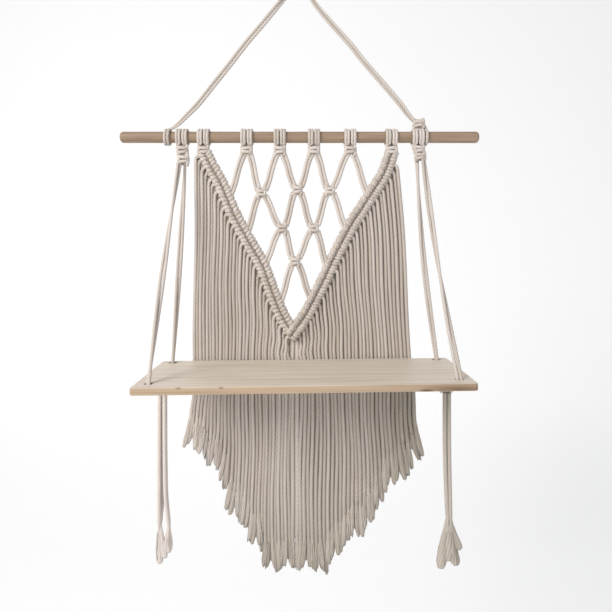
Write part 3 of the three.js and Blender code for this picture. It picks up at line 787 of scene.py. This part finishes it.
fringe = {
    "cords": 30, "rings": 114, "lay": 21,
    "front": -1.5, "back": 1.2,
    "edge": 11.9, "arch": 3.0,
    "radius": {"left": 2.7, "right": 2.8}, "loose": {"left": 2.95, "right": 3.3},
    "wander": 1.5,
    "hem": [(-161, -642), (-157, -664), (-151, -659), (-144, -669), (-135, -673), (-127, -688),
            (-114, -690), (-109, -706), (-104, -715), (-99, -738), (-97, -758), (-87, -761),
            (-80, -773), (-73, -777), (-70, -794), (-62, -801), (-54, -808), (-49, -831),
            (-41, -834), (-33, -840), (-24, -834), (-17, -833), (-5, -837), (4, -837), (13, -832),
            (24, -838), (37, -842), (42, -826), (50, -820), (60, -810), (67, -797), (74, -790),
            (88, -789), (95, -773), (104, -765), (109, -750), (118, -735), (123, -719),
            (133, -713), (143, -709), (149, -704), (154.5, -691), (160, -682), (165.5, -676)],
    "flares": [(-159, -3), (-97, -4), (-72, -3), (-50, -3), (-130, -2), (37, 2), (88, 3), (118, 2),
               (150, 1)],
    "skirt": {"from": 138, "to": 166, "out": 6.5},
    "gather": [-160, -143, -127, -114, -98, -84, -71, -51, -31, -4, 19, 38, 58, 70, 88, 106, 119,
               134, 151, 163],
    "fray": 30, "frayBelow": 1.5,
    "lean": 0.42, "leanMost": 9,
    "gap": {"x": -6, "half": 9, "shade": 0.3},
    "lock": {"at": [0, 0.3, 0.62, 0.85, 1], "size": [0.7, 1.0, 1.2, 1.25, 0.72], "sides": 28},
    "dim": {"y": 3.4, "radius": 2.9, "rings": 42, "above": 23, "foot": -810, "strip": 4.4},
}
spans = {
    "left": {"top": -147, "outer": -149.5, "inner": -15, "hemOuter": -156.5, "hemInner": -14,
             "spread": 2.5, "stripFrom": 6, "filler": -9.9},
    "right": {"top": 139, "outer": 156, "inner": 2.3, "hemOuter": 165.5, "hemInner": 1.5,
              "spread": 1.0, "stripFrom": 34, "filler": -3.3},
}


# An uneven but fixed number from -1 to 1 for each cord
def wander(k, turn):
    return np.sin(k * 2.399 + turn * 1.7) * np.cos(k * 0.83 + turn)


# Loosened yarn: strands run beside a path, each at its own place across it, times the half
# width there, with a slow curl, and each is cut off at its own share of the path
def brush(paths, halfWidth, strands, radius, flat, curl, reach, tone=None):
    count, rings = paths.shape[:2]
    angle = rng.uniform(0, 2 * np.pi, (count, strands))
    place = np.sqrt(rng.uniform(0.02, 1, (count, strands)))
    width = np.broadcast_to(np.asarray(halfWidth, float), (count, rings))
    width = np.maximum(width, 0.55 * width.max(axis=1, keepdims=True))
    sideways = (place * np.cos(angle))[..., None] * width[:, None]
    inwards = (place * np.sin(angle))[..., None] * width[:, None] * flat
    t = np.linspace(0, 1, rings)
    phase = rng.uniform(0, 2 * np.pi, (count, strands, 2))
    sideways = sideways + curl * t * np.sin(4 * t + phase[..., :1])
    inwards = inwards + curl * t * np.sin(3 * t + phase[..., 1:])
    full = np.repeat(paths[:, None], strands, axis=1)
    full[..., 0] += sideways
    full[..., 1] += inwards
    full = full.reshape(count * strands, rings, 3)
    end = rng.uniform(*reach, count * strands)
    begin = 0.3        # the share of the path where a strand starts
    cutAt = (begin + t[None] * (end[:, None] - begin)) * (rings - 1)
    low = np.minimum(cutAt.astype(int), rings - 2)
    part = (cutAt - low)[..., None]
    row = np.arange(count * strands)[:, None]
    cutPaths = full[row, low] * (1 - part) + full[row, low + 1] * part
    taper = np.interp(t, [0, 0.75, 1], [1.0, 0.9, 0.5])
    tones = np.repeat(rng.uniform(0, 0.7, count) if tone is None else tone, strands)
    return cordSurface(cutPaths, radius * taper[None], 8, plies=0, groove=0, sides=4, tone=tones)


# How much painted shade the cotton gets by its place, 0 to 1: deeper towards the bottom below the
# board and at its lower right
def shadeOf(points):
    right = np.clip((points[:, 0] - 85) / 60, 0, 1)
    below = np.clip((-545 - points[:, 2]) / 25, 0, 1)
    low = np.clip((-545 - points[:, 2]) / 290, 0, 1)
    return np.clip(0.85 * low**2.6 + 0.6 * right * below, 0, 1)


# Paths of one half of the fringe: out of the lower bar, over an arch, down to behind the board
# and on to the hem, with a slow wander; neighbours lie in front of and behind each other. The
# last path closes the gap at the middle of the panel.
def fringePaths(side, line, outward, hem):
    f, span = fringe, spans[side]
    k = np.arange(f["cords"])
    share = k / (f["cords"] - 1)
    sign = -1 if side == "left" else 1
    reached = sign * (line + outward * (f["edge"] + f["arch"] * 0.7))[:, 0]
    wanted = sign * (span["top"] + (span["inner"] - span["top"]) * share)
    at = np.interp(wanted, np.minimum.accumulate(reached)[::-1], np.arange(len(line))[::-1])
    at = np.clip(at + 3 * wander(k, 3), 0, len(line) - 4).astype(int)
    depth = np.where(k % 2 == 0, f["front"], f["back"]) + 0.3 * wander(k, 5)
    behindX = span["outer"] + (span["inner"] - span["outer"]) * share + 0.6 * wander(k, 1)
    hemX = span["hemOuter"] + (span["hemInner"] - span["hemOuter"]) * share
    hemZ = np.interp(hemX, hem[:, 0], hem[:, 1]) + 2 * wander(k, 2)
    middle, away = line[at] * [1, 0, 1], outward[at]
    zero = np.zeros(len(k))

    def moved(place, y, z):
        return place + np.column_stack([zero, zero + y, zero + z])

    arch = (f["arch"] * (1 - 0.6 * share))[:, None]
    root = moved(middle + away * 6.5, -3.0, 2.2)
    brow = moved(middle + away * 10.6, depth * 0.5 - 2.4, 2.4)
    shoulder = middle + away * (f["edge"] + arch)
    turn = moved(middle + away * (f["edge"] + arch * 0.6), depth * 0.8 - 1.2, 0.2)
    hang = moved(shoulder, depth, -6)
    steps = np.linspace(0, 1, 8)[None]
    drift = f["wander"] * np.sin(0.27 * k[:, None] + 5 * steps) * np.sin(np.pi * steps)
    drift += 0.4 * wander(k[:, None], 4 * steps) * np.sin(np.pi * steps)
    upperX = hang[:, :1] + (behindX[:, None] - hang[:, :1]) * steps**0.85
    upperZ = hang[:, 2:] + (board["top"] - hang[:, 2:]) * steps
    upperY = depth[:, None] * (1 - 0.62 * np.minimum(1, 1.5 * steps))
    lowerX = behindX[:, None] + (hemX - behindX)[:, None] * steps**span["spread"]
    lowerZ = board["top"] + (hemZ[:, None] + f["fray"] - board["top"]) * steps
    lowerY = depth[:, None] * (0.38 + 0 * steps)
    upper = np.stack([upperX + drift, upperY, upperZ], axis=-1)
    lower = np.stack([lowerX + 1.2 * drift, lowerY, lowerZ], axis=-1)[:, 1:]
    paths = np.concatenate([root[:, None], brow[:, None], turn[:, None], upper, lower], axis=1)
    tip = line[-6] + outward[-6] * f["edge"]
    x = span["filler"]
    filler = np.array([[tip * [1, 0, 1] + [0, 3.4, 2], [x, 3.6, tip[2] - 5],
                        [x, 3.0, board["top"] + 5], [x - 0.3, 1.0, -640],
                        [x + 0.4, 1.2, -730], [x, 1.0, -834 + f["fray"]]]])
    return paths, filler


# The frayed end of each cord: a lock that swells, gathers towards its group's middle, flares
# at the skirt and is cut at the hem, with loose fibres and a few plies in it. It falls in the
# direction of the cord's last stretch, moved sideways by flare times (share of the fall)^2.2.
def frayedTips(side, cords, tone):
    f, skirt, lock = fringe, fringe["skirt"], fringe["lock"]
    heading = cords[:, -1] - cords[:, -6]
    step = np.linalg.norm(heading, axis=1, keepdims=True) / 5
    heading /= 5 * step
    fall = np.linspace(0, 1, 12)
    reach = f["fray"] + f["frayBelow"] + 7 * step
    endX = cords[:, -1, 0]
    centres = np.array(f["gather"])
    nearest = centres[np.argmin(np.abs(endX[:, None] - centres), axis=1)]
    flare = sum(lean * np.exp(-(((endX - x) / 6) ** 2)) for x, lean in f["flares"])
    flare = flare + f["lean"] * np.clip(nearest - endX, -f["leanMost"], f["leanMost"])
    outwards = np.clip((endX - skirt["from"]) / (skirt["to"] - skirt["from"]), 0, 1)
    flare = flare + skirt["out"] * outwards**1.5
    tips = cords[:, -8][:, None] + heading[:, None] * (fall * reach)[..., None]
    tips[..., 0] += flare[:, None] * fall**2.2
    size = np.interp(fall, lock["at"], lock["size"]) * f["loose"][side]
    size = size[None] * rng.uniform(0.9, 1.1, (len(cords), 1))
    locks = cordSurface(tips, size, 160, plies=7, groove=0.17, sides=lock["sides"], tone=tone,
                        mark=0.8, flank=0.5, level=True, flat=0.9)
    loose = brush(tips, size, 14, 0.42, 0.9, 1.0, (0.84, 1.0), tone)
    plies = brush(tips, size * 0.95, 6, 1.35, 0.8, 1.6, (0.9, 1.04), tone)
    # painted shade below the board, as on the cords; the plies get half of it and less crease shade
    for part in (locks, loose, plies):
        part["shade"] = shadeOf(part["points"])
    plies["shade"] *= 0.5
    plies["crease"] *= 0.3
    return [locks, loose, plies]


# Behind the fringe: a strip along the bar painted in full shade, and a cord behind each gap between
# two cords, painted in shade on its front and less near the hem
def dimBacking(side, paths, line, outward, hem):
    span, dim = spans[side], fringe["dim"]
    edge = (line * [1, 0, 1] + outward * (fringe["edge"] - 0.6) + [0, dim["y"], 0])
    strip = cordSurface(edge[span["stripFrom"]:][None, ::8], dim["strip"], 15, groove=0.1, sides=9,
                        tone=1.0)
    # the strip is painted in full shade
    strip["shade"] = np.ones(len(strip["points"]))
    between = 0.5 * (paths[:-1, 3:] + paths[1:, 3:])
    between[..., 1] = dim["y"]
    between[:, 0, 2] += 9
    between[:, -1, 2] = np.maximum(paths[:-1, -1, 2], paths[1:, -1, 2]) - dim["above"]
    x = (span["inner"] + span["filler"]) / 2
    tip = line[-6] + outward[-6] * fringe["edge"]
    inmost = np.linspace([x, dim["y"], tip[2] - 3], [x, dim["y"], dim["foot"]], between.shape[1])
    between = np.concatenate([between, inmost[None]])
    cords = cordSurface(smoothPaths(between, dim["rings"]), dim["radius"], 150, groove=0, sides=9,
                        tone=0.6, mark=0.1, level=True)
    x, y, z = cords["points"].T
    # painted shade on the front of the cords behind, less near the hem
    nearHem = np.clip((np.interp(x, hem[:, 0], hem[:, 1]) + 45 - z) / 25, 0, 1)
    cords["shade"] = (0.85 - 0.6 * nearHem) * np.clip((4.6 - y) / 1.5, 0, 1)
    return [strip, cords]


def makeFringe(side):
    f, gap = fringe, fringe["gap"]
    line, _, outward = armLine(side, 600)
    hem = np.array(f["hem"], float)
    paths, filler = fringePaths(side, line, outward, hem)
    smooth = np.concatenate([smoothPaths(one, f["rings"]) for one in (paths, filler)])
    radius = f["radius"][side]
    body = np.interp(np.linspace(0, 1, f["rings"]), [0, 0.04, 0.5, 0.95, 1],
                     [0.9, 1, 1.02, f["loose"][side] / radius, 0.5])
    body = body * rng.uniform(0.95, 1.08, (len(smooth), 1))
    body[1:-1:2] *= 1.1        # the cords that lie behind
    body[-1:] *= 1.3           # the one that closes the gap
    # the cords behind get a darker, warmer tone, which is painted shade
    tone = np.clip(rng.uniform(0, 0.75, len(smooth)) + 0.5 * (np.arange(len(smooth)) % 2), 0, 1.1)
    cords = cordSurface(smooth, radius * body, f["lay"], groove=0.05, tone=tone, mark=0.3,
                        flank=1.15)
    x, y, z = cords["points"].T
    # painted shade below the board and at its lower right
    cords["shade"] = shadeOf(cords["points"])
    # the filler behind the middle gap, above the board, is painted in light shade
    cords["shade"][(y > 2) & (z > board["top"]) & (np.abs(x - gap["x"]) < gap["half"])] = gap["shade"]
    parts = [cords] + frayedTips(side, smooth, tone) + dimBacking(side, paths, line, outward, hem)
    cottonPiece(f"long_fringe_{side}", parts, f"fringe_{side}")


makeFringe("left")
makeFringe("right")
print("fringe made")

supports = {
    "left": {"side": -1, "group": "supportLeft", "neck": -164.2, "bottom": -263,
             "front": -169.5, "rear": -163.2, "bow": {"front": -1.2, "rear": 0.6}},
    "right": {"side": 1, "group": "supportRight", "neck": 170.8, "bottom": -257,
              "front": 174.8, "rear": 167.2, "bow": {"front": -3.2, "rear": -4.2}},
}
neck = {"top": -236.5, "width": 13.6, "y": -3.5}
ropeTop = {"front": -8.2, "rear": 1.2}
# A tail's rows are z, x of its left and right cords, and how far the left ones stand apart; its
# locks are x and z of top, belly and end, and the half width at the belly
tails = {
    "left": {
        "x": -175.5, "drop": 3.2, "shade": 0.0, "thick": 1.16, "tone": 0.0,
        "rows": [(-569, -178.2, -173, 1.2), (-640, -178.4, -172.8, 1.5), (-692, -178.2, -172, 1.8),
                 (-715, -178.8, -170.6, 1.4), (-742, -179.8, -167.8, 0.6), (-752, -180, -168, 0.6)],
        "locks": [(-179.6, -730, -180, -768, -179.5, -790, 5),
                  (-179, -734, -176, -765, -172.5, -783, 4.5),
                  (-168.6, -732, -167, -760, -168.2, -776, 4.5),
                  (-168.2, -740, -171, -762, -174, -779, 4)],
    },
    "right": {
        "x": 190.5, "drop": 6.2, "shade": 0.6, "thick": 1.2, "tone": 0.3,
        "rows": [(-569, 189, 194.1, 0.5), (-640, 189.2, 194.3, 0.5), (-692, 190.8, 195.2, 0.5),
                 (-730, 192.7, 196, 0.4), (-744, 192.6, 197, 0.4)],
        "locks": [(192.4, -728, 187.4, -766, 183.9, -796, 7),
                  (193.6, -730, 193.4, -766, 192.5, -786, 8),
                  (195, -730, 198.5, -768, 204, -792, 6.6),
                  (196, -728, 202, -756, 208.5, -772, 5.2)],
    },
}
sling = {"y": -72, "sag": 3, "knotWidth": 14, "knotHeight": 12.5}
meeting = board["top"] - board["thickness"] / 2


# Two cords side by side along a path, turned slowly about each other
def cordPair(path, turns, count, start=0.0):
    smooth = smoothPaths(path, count)
    _, across, out = framesOf(smooth)
    angle = start + np.linspace(0, turns * 2 * np.pi, count)[None, :, None]
    shift = cord["pair"] * (across * np.cos(angle) + out * np.sin(angle))
    both = np.concatenate([smooth + shift, smooth - shift])
    return cordSurface(both, cord["radius"], cord["lay"], groove=0.12, mark=0.55)


# Neck: a group of looped cords on the dowel with two square knots below it
def makeSupport(side):
    s = supports[side]
    x = groups[s["group"]]
    parts = [loopedCords([x - loopShape["apart"], x + loopShape["apart"]])]
    height = (neck["top"] - s["bottom"]) / 2
    rows = []
    for k in (0, 1):
        middle = neck["top"] - height * (k + 0.5)
        rows.append((x + (s["neck"] - x) * (0.4 + 0.6 * k), neck["y"], middle, neck["width"],
                     height * 0.93, 1))
    parts += squareKnots(rows)
    cottonPiece(f"knotted_neck_{side}", parts, f"support_{side}")


# Rope: a cord pair along start + (entry - start) t, bowed in x by bow sin(pi t), to its hole
def makeRope(side, place):
    s = supports[side]
    x, y = holeX(s["side"]), holeY(place)
    end = np.array([x, y, meeting + boardRise(x, y)])
    start = np.array([s[place], ropeTop[place], s["bottom"] - 0.4])
    entry = end + [0, 0, board["thickness"] / 2 + 1.5]
    t = np.linspace(0, 1, 8)[:, None]
    bow = np.array([s["bow"][place], 0, 0]) * np.sin(np.pi * t)
    path = np.concatenate([start + (entry - start) * t + bow, end[None]])
    turns = s["side"] * (0.75 if place == "front" else 0.5)
    parts = [cordPair(path, turns, 150, start=0.2)]
    cottonPiece(f"rope_pair_{side}_{place}", parts, f"rope_{side}_{place}")


# Sling: both rope ends run under the board to its middle, where a square knot ties them
def makeSling(side):
    x, tail = holeX(supports[side]["side"]), tails[side]
    level = board["top"] - board["thickness"]
    low = level + boardRise(x, sling["y"]) - tail["drop"]
    parts = []
    for place, towards in (("front", 1), ("rear", -1)):
        start = holeY(place)
        top = level + boardRise(x, start)
        path = [(x, start, top + board["thickness"] / 2 - 0.4), (x, start + towards * 0.8, top + 3),
                (x, start + towards * 4, top + 1.6), (x, start + towards * 16, top - 1.8),
                (x + (tail["x"] - x) * 0.6, start + (sling["y"] - start) * 0.6, low - 1.2),
                (tail["x"], sling["y"], low - sling["sag"])]
        parts.append(cordPair(path, 0.0, 44))
    height = sling["knotHeight"]
    z = low - sling["sag"] / 2 - height / 2
    parts += squareKnots([(tail["x"], sling["y"], z, sling["knotWidth"], height, 1)])
    cottonPiece(f"rope_sling_{side}", parts, f"sling_{side}")


# Tail: four cords that thin out at their ends, and locks of loosened yarn that swell there
def makeTail(side):
    tail, y = tails[side], sling["y"]
    rings, lockRings = 120, 24
    paths = []
    for column in (0, 1):
        for face in (-1, 1):
            paths.append([(pair[column] + (face * apart if column == 0 else 0),
                           y + face * (2.4 if z > -735 else 1.2), z)
                          for z, *pair, apart in tail["rows"]])
    smooth = smoothPaths(paths, rings)
    thin = np.interp(np.arange(rings), [0, 108, 119], [1, 1, 0.35])[None]
    parts = [cordSurface(smooth, cord["radius"] * tail["thick"] * thin, 19, groove=0.04, mark=0.25,
                         tone=tail["tone"])]
    for x0, z0, x1, z1, x2, z2, width in tail["locks"]:
        path = [(x0, y, z0), (0.6 * x0 + 0.4 * x1, y, 0.5 * (z0 + z1)), (x1, y, z1), (x2, y, z2)]
        run = smoothPaths(path, lockRings)
        half = np.interp(np.linspace(0, 1, lockRings), [0, 0.35, 0.75, 0.93, 1],
                         [1.5 / width, 0.6, 1.0, 0.95, 0.6])[None] * width
        parts.append(cordSurface(run, half, 150, plies=9, groove=0.14, sides=36, mark=0.6,
                                 level=True, flat=0.75, tone=tail["tone"]))
        parts.append(brush(run, half, 34, 0.4, 0.75, 1.0, (0.85, 0.99)))
    # painted shade, even over the whole tail: none on the left one, some on the right
    for part in parts:
        part["shade"] = np.full(len(part["points"]), tail["shade"])
    cottonPiece(f"loosened_tail_{side}", parts, f"tail_{side}")


for side in ("left", "right"):
    makeSupport(side)
    for place in ("front", "rear"):
        makeRope(side, place)
    makeSling(side)
    makeTail(side)
print("supports made")

# The line's rows are x, z and how the pair is turned: side by side in x and z where it is even
hanger = {
    "leftWrap": -187.4,
    "rightWrap": 179.8,
    "knot": {"x": 169.5, "z": -204.8, "width": 14.5, "height": 10},
    "line": [(-188, -213.4, 1.2), (-180, -210.4, 1.4), (-170.8, -203.5, 1.6), (-156.5, -189.3, 1.8),
             (-143, -175.1, 2), (-120.3, -146.6, 2.15), (-97.5, -118.2, 2.2), (-75.4, -89.7, 2.05),
             (-51.2, -61.2, 2.1), (-27.8, -32.8, 2.35), (-6.5, -7, 2.9), (0, -2.5, 3),
             (6, -7, 3.1), (21.3, -32.8, 3.65), (44.8, -61.2, 3.9), (70.4, -89.7, 4.05),
             (93.2, -118.2, 4), (118.1, -146.6, 4.1), (142.3, -175.1, 4.3), (152.9, -189.3, 4.6),
             (165, -203.2, 5)],
}


# Hanging cord: a pair of cords up to the hook and down, with wraps round the dowel as the
# circle y = -R cos a, z = dowel + R sin a, and a knot at the right
def makeHanger():
    h = hanger
    line = np.array(h["line"], float)
    path = np.column_stack([line[:, 0], np.zeros(len(line)), line[:, 1]])
    smooth = smoothPaths(path, 330)
    side = np.cross(directions(smooth), [0, 1, 0])
    share = np.interp(smooth[0, :, 0], line[:, 0], line[:, 2])
    angle = ((share - 3) * np.pi / 2)[None, :, None]
    shift = cord["pair"] * (np.array([0, 1.0, 0]) * np.cos(angle) + side * np.sin(angle))
    both = np.concatenate([smooth + shift, smooth - shift])
    thin = np.interp(smooth[:, :, 0], [-182, -155], [0.72, 1])
    parts = [cordSurface(both, cord["radius"] * np.repeat(thin, 2, axis=0), cord["lay"], groove=0.14,
                         mark=0.6)]
    reach = dowel["radius"] + cord["radius"]
    a = np.linspace(0.5 * np.pi, 2.5 * np.pi, 40)
    rings = []
    for x, lean in ((h["leftWrap"] - 2.2, 0.6), (h["leftWrap"] + 2.2, 0.6), (h["rightWrap"], 0.4)):
        rings.append(np.column_stack([x + lean * np.sin(a), reach * np.cos(a),
                                      dowel["z"] + reach * np.sin(a)]))
    parts.append(cordSurface(np.array(rings), cord["radius"], cord["lay"]))
    k = h["knot"]
    parts += squareKnots([(k["x"], 0.6, k["z"], k["width"], k["height"], 1)])
    bridge = [(k["x"] + 2, 0, k["z"] + 0.5), (k["x"] + 7, 0, k["z"] - 1.2),
              (h["rightWrap"] + 0.6, 0, dowel["z"] + 11.2)]
    parts.append(cordSurface(smoothPaths(bridge, 14), 2.2, cord["lay"]))
    cottonPiece("hanging_pair", parts, "hanging_cord")


makeHanger()
print("hanging cord made")
